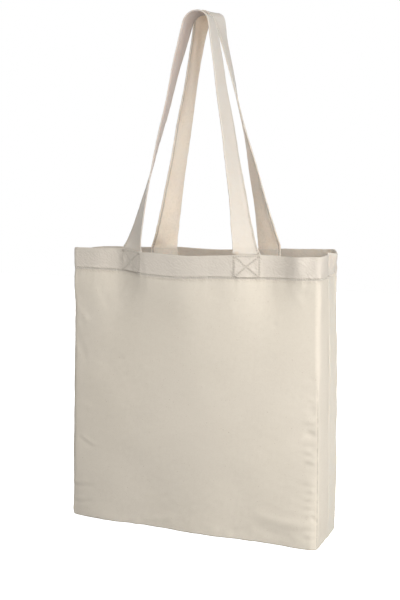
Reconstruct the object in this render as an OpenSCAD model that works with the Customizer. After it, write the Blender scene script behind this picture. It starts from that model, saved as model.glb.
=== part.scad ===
// Canvas tote bag with a squared-off base and two sewn-in shoulder handles.
// +Z is up, the front face looks along -Y, and the origin is the middle of the base on the ground.
// All lengths are in millimetres and all angles in degrees.

/* [Body] */
// Width of the bag across its front face
body_w = 380; // [300:1:450]
// Depth of the bag across a side
body_d = 98; // [70:1:140]
// Height of the bag to its mouth
body_h = 410; // [320:1:480]
// Thickness of one layer of canvas
canvas_t = 1; // [0.8:0.1:1.4]
// Radius of the soft upright edges
corner_r = 8; // [5:1:14]
// Height of the hem that is turned in round the mouth
hem_h = 32; // [24:1:44]

/* [Handles] */
// Width of a handle strap
strap_w = 38; // [28:1:46]
// Thickness of a handle strap, which is folded canvas
strap_t = 2; // [1.6:0.1:2.6]
// Distance between the middles of one handle's two ends
handle_spacing = 172; // [150:1:210]
// Height of the front handle's top above the mouth
front_rise = 334; // [260:1:380]
// Height of the rear handle's top above the mouth
rear_rise = 336; // [260:1:380]
// Bend radius at the top of the front handle
front_bend_r = 19; // [12:1:26]
// Bend radius at the top of the rear handle
rear_bend_r = 15; // [12:1:26]
// Gap between the two straps where they meet at the top
grip_gap = 3; // [2:0.5:8]

/* [Seams and thread] */
// Width of a row of stitches
thread_w = 0.8; // [0.5:0.1:1.2]
// Height that a row of stitches stands proud of the cloth
thread_h = 0.3; // [0.2:0.1:0.5]
// Width of the overlocked allowances of a seam
allowance_w = 9; // [6:1:12]
// Thickness of the overlocked allowances of a seam
allowance_t = 2.2; // [1.6:0.1:3]

/* [Hidden] */
$fn = 48;

FRONT = -1;
REAR = 1;
LEFT = -1;
RIGHT = 1;
CANVAS = [0.87, 0.83, 0.76];
SEAM = [0.83, 0.78, 0.69];
THREAD = [0.93, 0.90, 0.84];

cut = 1;                     // how far a cutting shape runs past what it cuts
hem_t = 2 * canvas_t;
hem_bottom = body_h - hem_h;
hem_row_z = hem_bottom + 1.5;
seam_gap = 2;                // clearance between the ends of two seams
corner_seam_w = body_d - 2 * corner_r - seam_gap;

end_h = hem_h - 1;           // height of the strap end that is sewn inside the hem
cross_inset = 2.5;           // distance of the cross stitch from the end's own edges
fold_gap = 0.5;              // height of the strap's fold line above the mouth
strap_y = body_d / 2 - hem_t - strap_t / 2;
grip_y = (strap_w + grip_gap) / 2;
edge_row = strap_w / 2 - 3;  // distance of the stitched row from the strap's middle
row_gap = 0.2;               // clearance under a row of stitches on the twisted strap
flat_run = 30;               // length above the mouth over which a strap starts to turn
turn_power = 0.36;           // how soon a strap turns edge-on above that
leg_steps = 36;
leg_spread = 2;              // how much closer the stations are near the mouth
bend_steps = 8;
strap_lanes = 6;             // flat lanes across a strap, which follow its twist
probe = 0.1;                 // step along the strap that measures its direction

// A rectangle with round corners, centred on the origin.
module round_rect(w, d, r) {
    square([w - 2 * r, d], center = true);
    square([w, d - 2 * r], center = true);
    for (x = [-1, 1], y = [-1, 1])
        translate([x * (w / 2 - r), y * (d / 2 - r)]) circle(r);
}

// The bag's outline from above, moved inwards by inset.
module plan(inset) {
    round_rect(body_w - 2 * inset, body_d - 2 * inset, corner_r - inset);
}

// The whole open box of canvas, with the hem as a second layer inside the mouth.
module canvas_box() {
    difference() {
        linear_extrude(body_h) plan(0);
        translate([0, 0, canvas_t]) linear_extrude(hem_bottom - canvas_t) plan(canvas_t);
        translate([0, 0, hem_bottom - cut]) linear_extrude(hem_h + 2 * cut) plan(hem_t);
    }
}

// One cut of canvas: a face, half of each side, half of the base and its own part of the hem.
module panel(side) {
    intersection() {
        canvas_box();
        translate([-body_w, side == REAR ? 0 : -body_d, -cut]) cube([2 * body_w, body_d, body_h + 2 * cut]);
    }
}

// The allowances of a side seam, pressed to the rear inside the bag.
module side_allowances(hand) {
    low = canvas_t + allowance_w + seam_gap;
    x = hand * (body_w / 2 - canvas_t - allowance_t / 2);
    translate([x, allowance_w / 2, (low + hem_bottom) / 2])
        cube([allowance_t, allowance_w, hem_bottom - low], center = true);
}

// The allowances of the seam along the middle of the base, pressed to the rear.
module base_allowances() {
    length = body_w - 2 * (canvas_t + allowance_t + seam_gap);
    translate([0, allowance_w / 2, canvas_t + allowance_t / 2])
        cube([length, allowance_w, allowance_t], center = true);
}

// The allowances of the short seam that squares off a lower corner, pressed up the side.
module corner_allowances(hand) {
    x = hand * (body_w / 2 - canvas_t - allowance_t / 2);
    translate([x, 0, canvas_t + allowance_w / 2])
        cube([allowance_t, corner_seam_w, allowance_w], center = true);
}

// The row of stitches that holds the hem, where it shows outside.
module hem_row() {
    translate([0, 0, hem_row_z])
        linear_extrude(thread_w)
            difference() {
                plan(-thread_h);
                plan(0);
            }
}

// The end of a strap, flat against the inside of the hem.
module strap_end(side, hand) {
    translate([hand * handle_spacing / 2, side * strap_y, body_h - end_h / 2])
        cube([strap_w, strap_t, end_h], center = true);
}

// A square with a cross in it, as a flat figure.
module cross_figure() {
    w = strap_w - 2 * cross_inset;
    h = end_h - 2 * cross_inset;
    difference() {
        square([w + thread_w, h + thread_w], center = true);
        square([w - thread_w, h - thread_w], center = true);
    }
    for (hand = [LEFT, RIGHT])
        rotate(hand * atan2(h, w)) square([norm([w, h]), thread_w], center = true);
}

// The stitches through one strap end, where they show outside on the canvas and inside on the strap.
module cross_stitches(side, hand) {
    outside = side * (body_d / 2 + thread_h / 2);
    inside = side * (strap_y - strap_t / 2 - thread_h / 2);
    for (y = [outside, inside])
        translate([hand * handle_spacing / 2, y, body_h - end_h / 2])
            rotate([90, 0, 0]) linear_extrude(thread_h, center = true) cross_figure();
}

function unit(v) = v / norm(v);
function smooth(t) = let (c = min(max(t, 0), 1)) c * c * (3 - 2 * c);

// A handle is two straight legs that meet in a round bend at the top. The bend's centre, seen from
// a leg's foot, is at to_centre.
function rise_of(side) = side == FRONT ? front_rise : rear_rise;
function bend_of(side) = side == FRONT ? front_bend_r : rear_bend_r;
function to_centre(side) = [handle_spacing / 2, rise_of(side) - bend_of(side)];
function leg_length(side) = let (c = to_centre(side)) sqrt(c * c - pow(bend_of(side), 2));
function leg_angle(side) = let (c = to_centre(side)) atan2(c.y, c.x) + asin(bend_of(side) / norm(c));
function half_length(side) = leg_length(side) + bend_of(side) * leg_angle(side) * PI / 180;

// A point of a handle's left half, s along it from the mouth, as [across, up].
function half_point(side, s) =
    let (leg = leg_length(side), a = leg_angle(side), r = bend_of(side))
    s < leg
        ? [s * cos(a) - handle_spacing / 2, s * sin(a)]
        : let (b = a + 90 - (s - leg) / r * 180 / PI) [r * cos(b), rise_of(side) - r + r * sin(b)];

// A point of the strap's centreline, s along it from the mouth at the left.
function strap_point(side, s) =
    let (
        half = half_length(side),
        p = half_point(side, min(s, 2 * half - s)),
        lean = p.y / rise_of(side)
    )
    [s < half ? p.x : -p.x, side * (strap_y + (grip_y - strap_y) * lean), body_h + p.y];

// The strap's turn about the vertical: 0 at the left end, 90 at the top and 180 at the right end.
function half_turn(side, s) = 90 * pow(s / half_length(side), turn_power) * smooth(s / flat_run);
function turn(side, s) =
    let (half = half_length(side)) s < half ? half_turn(side, s) : 180 - half_turn(side, 2 * half - s);
function across(side, s) = let (t = turn(side, s)) [cos(t), side * sin(t), 0];
function face_normal(side, s) =
    unit(cross(strap_point(side, s + probe) - strap_point(side, s - probe), across(side, s)));

// Stations along a handle, closer together near the mouth and round the bend.
function stations(side) =
    let (
        leg = leg_length(side),
        half = half_length(side),
        rising = concat(
            [for (i = [0 : leg_steps - 1]) fold_gap + (leg - fold_gap) * pow(i / leg_steps, leg_spread)],
            [for (i = [0 : bend_steps - 1]) leg + (half - leg) * i / bend_steps]
        )
    )
    concat(rising, [half], [for (i = [len(rising) - 1 : -1 : 0]) 2 * half - rising[i]]);

// The outline of a bar w wide and h thick at one station, moved out across the strap and up off it.
function ring(side, s, out, up, w, h, lanes) =
    let (
        c = strap_point(side, s),
        u = across(side, s),
        n = face_normal(side, s),
        lower = [for (i = [0 : lanes]) [i / lanes - 0.5, -0.5]],
        upper = [for (i = [lanes : -1 : 0]) [i / lanes - 0.5, 0.5]]
    )
    [for (k = concat(lower, upper)) c + u * (out + k.x * w) + n * (up + k.y * h)];

// A closed bar that runs along the whole of a handle.
module bar_along(side, out, up, w, h, lanes = 1) {
    rings = [for (s = stations(side)) ring(side, s, out, up, w, h, lanes)];
    count = 2 * (lanes + 1);
    last = count * (len(rings) - 1);
    skin = [
        for (first = [0 : count : last - count], k = [0 : count - 1])
            let (a = first + k, b = first + (k + 1) % count)
            each [[a, a + count, b + count], [a, b + count, b]]
    ];
    caps = [
        for (i = [0 : lanes - 1])
            let (j = count - 1 - i)
            each [
                [i, i + 1, j - 1], [i, j - 1, j],
                [last + j - 1, last + i + 1, last + i], [last + j, last + j - 1, last + i]
            ]
    ];
    polyhedron([for (r = rings) each r], concat(skin, caps));
}

// The free part of a strap, from its fold line at one end to its fold line at the other.
module strap(side) {
    bar_along(side, 0, 0, strap_w, strap_t, strap_lanes);
}

// The row of stitches that closes the strap's outer edge, where it shows on both faces.
module edge_rows(side) {
    up = strap_t / 2 + row_gap + thread_h / 2;
    for (face = [-1, 1])
        bar_along(side, -edge_row, face * up, thread_w, thread_h);
}

module front_panel() { color(CANVAS) panel(FRONT); }
module back_panel() { color(CANVAS) panel(REAR); }
module left_side_seam() { color(SEAM) side_allowances(LEFT); }
module right_side_seam() { color(SEAM) side_allowances(RIGHT); }
module base_seam() { color(SEAM) base_allowances(); }
module left_corner_seam() { color(SEAM) corner_allowances(LEFT); }
module right_corner_seam() { color(SEAM) corner_allowances(RIGHT); }
module hem_stitching() { color(THREAD) hem_row(); }
module front_handle_left_end() { color(CANVAS) strap_end(FRONT, LEFT); }
module front_handle_right_end() { color(CANVAS) strap_end(FRONT, RIGHT); }
module rear_handle_left_end() { color(CANVAS) strap_end(REAR, LEFT); }
module rear_handle_right_end() { color(CANVAS) strap_end(REAR, RIGHT); }
module front_left_cross_stitch() { color(THREAD) cross_stitches(FRONT, LEFT); }
module front_right_cross_stitch() { color(THREAD) cross_stitches(FRONT, RIGHT); }
module rear_left_cross_stitch() { color(THREAD) cross_stitches(REAR, LEFT); }
module rear_right_cross_stitch() { color(THREAD) cross_stitches(REAR, RIGHT); }
module front_handle() { color(CANVAS) strap(FRONT); }
module rear_handle() { color(CANVAS) strap(REAR); }
module front_handle_edge_stitching() { color(THREAD) edge_rows(FRONT); }
module rear_handle_edge_stitching() { color(THREAD) edge_rows(REAR); }

front_panel();
back_panel();
left_side_seam();
right_side_seam();
base_seam();
left_corner_seam();
right_corner_seam();
hem_stitching();
front_handle_left_end();
front_handle_right_end();
rear_handle_left_end();
rear_handle_right_end();
front_left_cross_stitch();
front_right_cross_stitch();
rear_left_cross_stitch();
rear_right_cross_stitch();
front_handle();
rear_handle();
front_handle_edge_stitching();
rear_handle_edge_stitching();
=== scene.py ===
"""A natural canvas tote bag: a lofted cloth shell with a turned hem, sewn seams, single stitches and
two folded straps that are held up together at the top. Lengths are in millimetres until a mesh is made."""
import math

import bmesh
import bpy
import numpy as np
from mathutils import Matrix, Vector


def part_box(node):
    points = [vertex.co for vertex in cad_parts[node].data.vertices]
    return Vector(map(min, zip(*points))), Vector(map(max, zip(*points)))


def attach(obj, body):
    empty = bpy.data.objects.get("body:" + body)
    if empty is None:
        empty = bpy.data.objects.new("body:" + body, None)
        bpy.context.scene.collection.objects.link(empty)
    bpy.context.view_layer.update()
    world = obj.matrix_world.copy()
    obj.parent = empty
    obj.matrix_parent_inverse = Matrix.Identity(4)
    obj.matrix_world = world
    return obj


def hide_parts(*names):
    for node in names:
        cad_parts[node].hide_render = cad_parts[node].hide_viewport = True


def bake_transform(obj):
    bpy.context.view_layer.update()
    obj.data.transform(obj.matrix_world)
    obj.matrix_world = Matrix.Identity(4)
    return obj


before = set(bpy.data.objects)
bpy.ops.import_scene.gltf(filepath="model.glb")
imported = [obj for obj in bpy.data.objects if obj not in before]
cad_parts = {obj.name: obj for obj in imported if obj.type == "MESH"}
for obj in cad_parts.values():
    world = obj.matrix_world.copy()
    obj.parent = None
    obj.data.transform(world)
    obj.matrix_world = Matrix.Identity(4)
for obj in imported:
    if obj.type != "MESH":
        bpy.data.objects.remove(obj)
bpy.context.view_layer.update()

MM = 0.001
FRONT, REAR = -1, 1
LEFT, RIGHT = -1, 1
SIDE_WORD = {FRONT: "front", REAR: "rear"}
HAND_WORD = {LEFT: "left", RIGHT: "right"}


# -------- dimensions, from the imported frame

def cad(node):
    """The lowest and highest corners of a CAD node, in millimetres."""
    low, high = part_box(node)
    return np.array(low) / MM, np.array(high) / MM


panel_low, panel_high = cad("front_panel")
end_low, end_high = cad("front_handle_right_end")
seam_low, seam_high = cad("base_seam")
HALF_W = panel_high[0]                       # half the width of the body
HALF_D = -panel_low[1]                       # half its depth
H = panel_high[2]                            # height of the mouth
HEM_Z = cad("hem_stitching")[0][2]           # height of the stitched row
STRAP_W = end_high[0] - end_low[0]
STRAP_T = end_high[1] - end_low[1]
STRAP_X = (end_high[0] + end_low[0]) / 2     # from the middle of the bag to the middle of a strap
END_H = H - end_low[2]                       # length of strap sewn inside the hem
SEAM_W, SEAM_T = (seam_high - seam_low)[1:]  # width and thickness of a seam's allowances

# Where each strap end is sewn on, and how far a handle's centreline rises above the mouth. The front
# handle's ends sit a little further left than the CAD ones.
STRAP_AT = {(FRONT, LEFT): -STRAP_X - 9, (FRONT, RIGHT): STRAP_X - 1.5,
            (REAR, LEFT): -STRAP_X, (REAR, RIGHT): STRAP_X}
RISE = {side: cad(word + "_handle")[1][2] - STRAP_T / 2 - H for side, word in SIDE_WORD.items()}

CANVAS_T = 1.0
HEM_T = 2.1
HEM_LOW = HEM_Z - 1.6                        # lower edge of the turned-in hem
HEM_ROW = HEM_Z + 0.4                        # its row of stitches
STRAP_ROW_IN = 3.0                           # the strap's row, in from its outer edge
BASE_R = 2.6                                 # soft radius round the foot of the bag
THREAD_R = 0.4
PROUD = 0.24                                 # how far a stitch stands out of the cloth
STITCH = 3.1                                 # from one needle hole to the next
PITCH = 0.62                                 # from one yarn to the next
FOLD_IN = 1.5                                # the pressed front right fold, in from the edge of the face
SLACK = 1e-6                                 # for comparing places that may differ by rounding


# -------- numbers and curves

def smooth(t):
    """An S-curve from 0 to 1."""
    t = np.clip(t, 0, 1)
    return t * t * (3 - 2 * t)


def bell(t):
    """A rounded bump of height 1, which has all but died away at t = 2."""
    return np.exp(-(t ** 2))


def bumps(x, rows):
    """A sum of rounded bumps, each (centre, half width, height)."""
    return sum(h * bell((x - c) / w) for c, w, h in rows)


def waves(seed, u, v, count, shortest, longest):
    """Gentle seeded unevenness of about unit size, with waves between two lengths."""
    rng = np.random.default_rng(seed)
    total = np.zeros(np.broadcast(u, v).shape)
    for _ in range(count):
        length = math.exp(rng.uniform(math.log(shortest), math.log(longest)))
        angle, phase = rng.uniform(0, math.pi), rng.uniform(0, math.tau)
        total += np.sin((u * math.cos(angle) + v * math.sin(angle)) * math.tau / length + phase)
    return total * math.sqrt(2 / count)


def crease(u, v, start, end, width, height):
    """A soft ridge, or a valley if height is negative, that fades out at both ends."""
    a, d = np.array(start, float), np.subtract(end, start).astype(float)
    length = np.hypot(*d)
    along = ((u - a[0]) * d[0] + (v - a[1]) * d[1]) / length ** 2
    off = ((u - a[0]) * d[1] - (v - a[1]) * d[0]) / length
    bow = 0.04 * length * np.sin(along * math.pi)
    fade = smooth(along / 0.35 + 0.2) * smooth((1 - along) / 0.35 + 0.2)
    return height * bell((off - bow) / width) * fade


def spread(low, high, step):
    """Evenly spaced values from low to high, about a step apart."""
    return np.linspace(low, high, max(2, int(round((high - low) / step)) + 1))


def normalised(a):
    """The same directions with length 1."""
    return a / np.maximum(np.linalg.norm(a, axis=-1, keepdims=True), 1e-9)


# -------- meshes

def grid_quads(rows, cols, first=0, closed=False):
    """Faces of a grid of points, stored row by row. closed joins the last column to the first."""
    r, c = np.meshgrid(np.arange(rows - 1), np.arange(cols if closed else cols - 1), indexing="ij")
    a, b = r * cols + c, r * cols + (c + 1) % cols
    return (np.stack([a, b, b + cols, a + cols], -1) + first).reshape(-1, 4).tolist()


def there_and_back(top, under):
    """Rows of values across the top of a band and back across its underside, as closed rings."""
    return np.concatenate([top, under[:, 1:-1][:, ::-1]], axis=1)


def mesh_object(name, points, faces, cloth=None, weld=0.0):
    """A smooth object from points in millimetres. cloth holds each point's place on the flat cloth."""
    mesh = bpy.data.meshes.new(name)
    mesh.from_pydata((np.reshape(points, (-1, 3)) * MM).tolist(), [], faces)
    if cloth is not None:
        layer = mesh.uv_layers.new(name="cloth")
        corner = np.empty(len(mesh.loops), int)
        mesh.loops.foreach_get("vertex_index", corner)
        spots = np.reshape(cloth, (-1, 2))[corner] * MM
        layer.data.foreach_set("uv", spots.astype(np.float32).ravel())
    if weld:
        work = bmesh.new()
        work.from_mesh(mesh)
        bmesh.ops.remove_doubles(work, verts=work.verts, dist=weld * MM)
        bmesh.ops.recalc_face_normals(work, faces=work.faces)
        work.to_mesh(mesh)
        work.free()
    mesh.polygons.foreach_set("use_smooth", [True] * len(mesh.polygons))
    mesh.update()
    obj = bpy.data.objects.new(name, mesh)
    bpy.context.scene.collection.objects.link(obj)
    return obj


def grid_normals(points):
    """Outward normals of a grid that runs left to right seen from outside, and upwards."""
    across = np.gradient(points, axis=1)
    up = np.gradient(points, axis=0)
    return normalised(np.cross(across, up))


# -------- the shape of the body

def out_of_face(side, x, z):
    """How far a face stands out: bowed, pushed out between the straps, rippled at the foot."""
    top_weight = smooth((z - 190) / 215)
    low_weight = smooth(1 - z / 150)
    if side == FRONT:
        lift, soft, dent = 13, 17, 7
        extra = bumps(x, [(-2, 38, 4.5), (-150, 20, 1.0)])
        extra = extra + bumps(x, [(157, 14, 6.5)]) * smooth((z - 350) / 55)
        middle = 9 * (1 - (x / 193) ** 2)
        foot = 4.5 * (1 - (x / 193) ** 6) + 2.0 * np.cos((x - 20) * math.tau / 168)
    else:
        lift, soft, dent = 9, 22, 3
        extra = bumps(x, [(-62, 15, 4.0), (-106, 14, -3.0), (-158, 15, 2.0), (140, 18, -1.5)])
        middle = 7 * (1 - (x / 193) ** 2) + 1.5 * np.sin(x / 45)
        foot = 3.5 * (1 - (x / 193) ** 6) + 1.5 * np.cos((x + 35) * math.tau / 190)
    # the folds at the straps spread out and fade below the hem
    below = smooth((HEM_LOW + 5 - z) / 90)
    soft = soft + 34 * below
    dent = dent * (1 - 0.7 * below)
    plateau = 0.5 * (np.tanh((x + STRAP_X) / soft) - np.tanh((x - STRAP_X) / soft))
    top = lift * plateau - dent * bell((np.abs(x) - 118) / 28) + extra
    corner = smooth((HALF_W + 6 - np.abs(x)) / 14)
    return corner * (top_weight * top + low_weight * foot + (1 - top_weight - low_weight) * middle)


def out_of_side(hand, y, z):
    """How far a gusset stands out. y runs from -HALF_D at the front to +HALF_D."""
    rim = smooth((z - (HEM_LOW - 4)) / 30)
    hem = bell((z - HEM_LOW + 6) / 24)
    belly = smooth(z / 60) * smooth((HEM_LOW - 25 - z) / 90)
    bow = np.cos(y / HALF_D * math.pi / 2)
    right = rim * bumps(y, [(23, 12, 5.0), (-26, 13, 2.2), (0, 7, -1.2)])
    right = right + hem * bumps(y, [(30, 20, -2.6), (0, 9, -1.0)])
    right = right + belly * (1.5 * bow + bumps(y, [(42, 22, 3.2)]))
    left = rim * bumps(y, [(-20, 13, 3.0), (20, 14, 2.0), (0, 8, -2.0)])
    left = left + hem * bumps(y, [(10, 26, -3.0), (-44, 12, -1.6)]) + rim * bumps(y, [(-46, 10, 1.2)])
    left = left + belly * 2.2 * bow
    return np.where(hand > 0, right, left)


def drop(side, p, x, z):
    """How far the cloth sits above its flat height: the mouth dips between the straps."""
    round_side = np.maximum(np.abs(p) - HALF_W, 0)
    if side == FRONT:
        rim = bumps(x, [(-4, 62, -4.2), (-76, 14, -1.6), (-128, 24, 1.2), (140, 26, -1.5)])
        rim = rim + bumps(p, [(-HALF_W, 5, -1.8)])
        hem = bumps(x, [(-26, 72, -5.8), (112, 62, -2.8)])
        right, left = 0.8 * smooth(round_side / 20), -4.5 * smooth(round_side / 44)
    else:
        fade = 1 - smooth(round_side / 36)
        rim = 0.025 * x * fade + bumps(x, [(5, 50, -3.4)])
        hem = 0.022 * x * fade + bumps(x, [(0, 90, -4.0)])
        right = bumps(round_side, [(HALF_D, 16, 2.6), (17, 10, -2.2)])
        left = -4.5 * (1 - fade)
    rim = rim + np.where(p > 0, right, left)
    up = np.clip((z - HEM_Z) / (H - HEM_Z), 0, 1)
    below = smooth((z - 230) / (HEM_Z - 230))
    return np.where(z > HEM_Z, hem + (rim - hem) * up, hem * below)


def edge_radius(side, hand, z):
    """Radius of an upright edge: soft, but pressed sharp low down at the front right."""
    if side == FRONT:
        right = 1.8 + 5.5 * smooth((z - 190) / 90)
        left = 4.6 + 4.5 * smooth(z / 90) * smooth((HEM_Z - 10 - z) / 60) - 2.4 * smooth(1 - z / 30)
        return np.where(hand > 0, right, left)
    right = 4.5 + 9.0 * smooth((z - HEM_Z) / 26)
    return np.where(hand > 0, right, 6.0 + 4.0 * smooth((z - HEM_Z) / 26))


def outer_skin(side, p, z):
    """Points of the outer cloth. p runs round the panel from the middle of its face, z upwards."""
    P, Z = np.meshgrid(p, z)
    hand = np.where(P >= 0, 1, -1)
    rise = np.clip(Z, 0, BASE_R) / BASE_R
    inset = BASE_R * (1 - np.sqrt(1 - (1 - rise) ** 2))
    a = HALF_W + 3.6 - 7.2 * Z / H - inset + np.where(hand < 0, 2.9 * smooth(Z / 150), 0.6)
    b = HALF_D - 0.4 - 1.2 * Z / H - inset
    r = edge_radius(side, hand, Z)
    round_side = np.maximum(np.abs(P) - HALF_W, 0)
    x = np.clip(P, -HALF_W, HALF_W) * a / HALF_W
    y = -b + round_side * b / HALF_D
    core_x, core_y = np.clip(x, r - a, a - r), np.maximum(y, r - b)
    dx, dy = x - core_x, y - core_y
    reach = np.maximum(np.hypot(dx, dy), 1e-6)
    x, y = core_x + dx * r / reach, core_y + dy * r / reach
    on_face = smooth(1 - (np.abs(P) - HALF_W + 4) / 8)
    y = y - out_of_face(side, x, Z) * on_face
    true_y = -side * y
    x = x + hand * out_of_side(hand, true_y, Z) * smooth((np.abs(P) - HALF_W - 2) / 12)
    z_out = Z + drop(side, P, x, Z)
    return np.stack([x, -side * y, z_out], -1)


SQUARE_HALF = STRAP_W / 2 - 2.5              # half the width of the square that holds a strap
SQUARE_LOW, SQUARE_HIGH = HEM_ROW, H - 2.0


def cross_lines(side, hand):
    """The stitched square with its cross at one strap, as line segments on the cloth."""
    left, right = STRAP_AT[side, hand] - SQUARE_HALF, STRAP_AT[side, hand] + SQUARE_HALF
    a, b, c, d = (left, SQUARE_LOW), (right, SQUARE_LOW), (right, SQUARE_HIGH), (left, SQUARE_HIGH)
    return [(a, b), (b, c), (c, d), (d, a), (d, b), (a, c)]


def distance_to(u, v, start, end):
    """Distance from a straight line between two spots on the cloth."""
    a, d = np.array(start, float), np.subtract(end, start).astype(float)
    t = np.clip(((u - a[0]) * d[0] + (v - a[1]) * d[1]) / (d @ d), 0, 1)
    return np.hypot(u - a[0] - t * d[0], v - a[1] - t * d[1])


# Soft creases in each panel: start and end on the cloth, half width, and height (a valley below 0).
CREASES = {FRONT: [
    ((-194, 46), (-150, 52), 2.6, -0.9), ((-194, 53), (-158, 58), 4.0, 0.8),
    ((-194, 20), (-152, 27), 2.4, -0.7), ((-194, 27), (-165, 31), 3.5, 0.6),
    ((-174, 128), (-144, 113), 1.8, 0.8), ((-178, 123), (-150, 108), 2.5, -0.6),
    ((-186, 330), (-160, 296), 6.0, 0.8), ((-184, 292), (-166, 240), 5.0, -0.8),
    ((-150, 366), (-128, 320), 6.0, -0.6), ((-176, 180), (-152, 168), 5.0, 0.5),
    ((94, 42), (184, 34), 7.0, 1.5), ((96, 24), (156, 14), 6.0, -0.7), ((146, 20), (190, 8), 6.0, 0.5),
    ((178, 52), (190, 40), 2.2, -1.2), ((170, 34), (190, 46), 3.2, 0.8),
    ((176, 142), (192, 139), 2.6, -1.1), ((178, 128), (192, 130), 2.4, -0.9),
    ((176, 96), (192, 100), 2.6, -0.9), ((177, 218), (192, 214), 2.6, -0.9),
    ((179, 192), (192, 194), 2.4, -0.8),
    ((124, 318), (130, 311), 1.4, -0.8), ((90, 372), (70, 330), 7.0, -0.5),
    ((150, 372), (168, 338), 6.0, 0.6), ((166, 205), (188, 222), 4.0, 0.5),
    ((170, 170), (190, 160), 3.4, -0.5), ((168, 120), (189, 132), 3.6, 0.5),
    ((-60, 12), (-20, 22), 6.0, 0.6), ((60, 10), (96, 20), 6.0, -0.6),
    ((-92, 374), (-110, 340), 5.0, 0.5), ((20, 370), (34, 336), 8.0, 0.5),
    ((194, 372), (212, 330), 4.0, 0.6), ((198, 30), (226, 14), 4.0, 0.7),
], REAR: [
    ((-190, 60), (-140, 52), 4.0, -0.9), ((-188, 70), (-150, 64), 5.0, 0.8),
    ((188, 300), (150, 262), 6.0, 0.9), ((182, 286), (150, 244), 6.0, -0.7),
    ((-60, 372), (-84, 320), 7.0, 0.7), ((96, 370), (120, 316), 7.0, -0.7),
    ((110, 40), (180, 8), 7.0, 1.2), ((-30, 14), (30, 24), 7.0, 0.7),
    ((-120, 180), (-60, 196), 9.0, 0.6), ((40, 150), (110, 138), 9.0, -0.6),
    ((194, 368), (222, 322), 5.0, -1.0), ((200, 40), (228, 18), 5.0, 0.8),
    ((196, 250), (220, 205), 6.0, 0.7), ((-200, 240), (-224, 190), 6.0, 0.7),
]}


def relief(side, p, z):
    """Fine shape of the outer cloth along its normal: hem, stitched rows, puckers and creases."""
    P, Z = np.meshgrid(p, z)
    seed = 11 if side == FRONT else 23
    hem = smooth((Z - HEM_LOW) / 1.6)
    shape = 0.5 * hem
    row = bell((Z - HEM_ROW) / 1.0)
    shape -= 0.75 * row
    gather = waves(seed + 1, P, 0 * Z, 9, 9, 34)
    shape += 0.34 * gather * np.exp(-np.abs(Z - HEM_Z) / 7)
    shape -= 0.35 * bell((Z - HEM_Z + 4.5) / 2.4)
    rim_gather = waves(seed + 2, P, 0 * Z, 6, 14, 46)
    shape += 0.22 * rim_gather * np.exp(-np.abs(Z - H) / 9)
    for hand in (LEFT, RIGHT):
        near = np.min([distance_to(P, Z, start, end) for start, end in cross_lines(side, hand)], axis=0)
        box = smooth((STRAP_W / 2 - 0.5 - np.abs(P - STRAP_AT[side, hand])) / 2) * hem
        shape += 0.85 * box
        shape -= 0.95 * bell(near / 0.9) * hem
        shape += 0.3 * waves(seed + 3, P, Z, 6, 7, 16) * np.exp(-near / 5) * hem
    shape += 0.26 * waves(seed + 4, P, Z, 18, 45, 160)
    shape += 0.045 * waves(seed + 5, P, Z, 26, 9, 26)
    side_way = np.abs(P) - HALF_W
    shape += 0.14 * smooth(side_way / 8) * waves(seed + 6, P, 0.35 * Z, 14, 16, 50)
    foot = smooth(1 - (Z - 2) / 22)
    shape += 0.3 * foot * waves(seed + 7, P, 0.5 * Z, 12, 16, 60)
    # the seam down the middle of each gusset
    to_seam = HALF_W + HALF_D - np.abs(P)
    shape -= 0.75 * bell(to_seam / 1.3)
    shape += 0.3 * bell((to_seam - 5) / 3.5) * (1 + 0.35 * waves(seed + 8, 0 * P, Z, 8, 12, 40))
    # the corner seam along the foot of each gusset, with a notch where it ends
    shape -= 0.8 * bell((Z - 1.2) / 1.1) * smooth((side_way + 2) / 3)
    shape -= 1.3 * np.exp(-(side_way / 3) ** 2 - ((Z - 3) / 3.2) ** 2)
    if side == FRONT:
        # the right-hand fold is a pressed groove up to the soft part, with puckers beside it
        to_fold = P - HALF_W + FOLD_IN
        pressed = smooth((Z - 10) / 15) * smooth((262 - Z) / 60)
        shape -= 0.7 * bell(to_fold / 1.1) * pressed
        beside = bell((to_fold + 9) / 7.5)
        shape += 0.70 * waves(seed + 9, 0.15 * P, Z, 10, 9, 17) * beside * pressed
    for start, end, width, height in CREASES[side]:
        shape += crease(P, Z, start, end, width, height)
    return shape


def panel_columns():
    """Places round one panel, close together at its seams and its folded edges."""
    edge = HALF_W + HALF_D
    seam = edge - np.array([0, 0.7, 1.5, 2.6, 4.2])
    gusset = spread(HALF_W + 9, edge - 7, 3.2)[::-1]
    fold = spread(HALF_W - 9, HALF_W + 8, 1.1)[::-1]
    near_strap = spread(STRAP_X - 21, STRAP_X + 21, 1.2)
    middle, outer = spread(0, STRAP_X - 23.5, 2.6), spread(STRAP_X + 23.5, HALF_W - 11.5, 2.6)
    half = np.concatenate([seam, gusset, fold, outer[::-1], near_strap[::-1], middle[::-1]])
    return np.concatenate([-half, half[:-1][::-1]])


def panel_rows():
    """Heights up one panel, close together round its foot and at the hem."""
    foot = BASE_R * (1 - np.cos(np.linspace(0, math.pi / 2, 7)))
    body = spread(BASE_R + 2.2, HEM_Z - 9, 3.0)
    hem = spread(HEM_Z - 7.5, HEM_Z + 5, 0.8)
    top = spread(HEM_Z + 6.2, H - HEM_T / 2, 1.2)
    return np.concatenate([foot, body, hem, top])


def make_skin(side, fine=True):
    """The outer cloth of one panel with its normals, which everything sewn to it looks up."""
    p, z = panel_columns(), panel_rows()
    points = outer_skin(side, p, z)
    normals = grid_normals(points) * -side
    if fine:
        points = points + normals * relief(side, p, z)[..., None]
    points[..., 2] = np.maximum(points[..., 2], 0)
    points[0, :, 2] = 0
    points[:, [0, -1], 1] = 0
    normals = grid_normals(points) * -side
    normals[0] = (0, 0, -1)
    normals[:, [0, -1], 1] = 0
    return {"side": side, "p": p, "z": z, "points": points, "normals": normalised(normals)}


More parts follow.
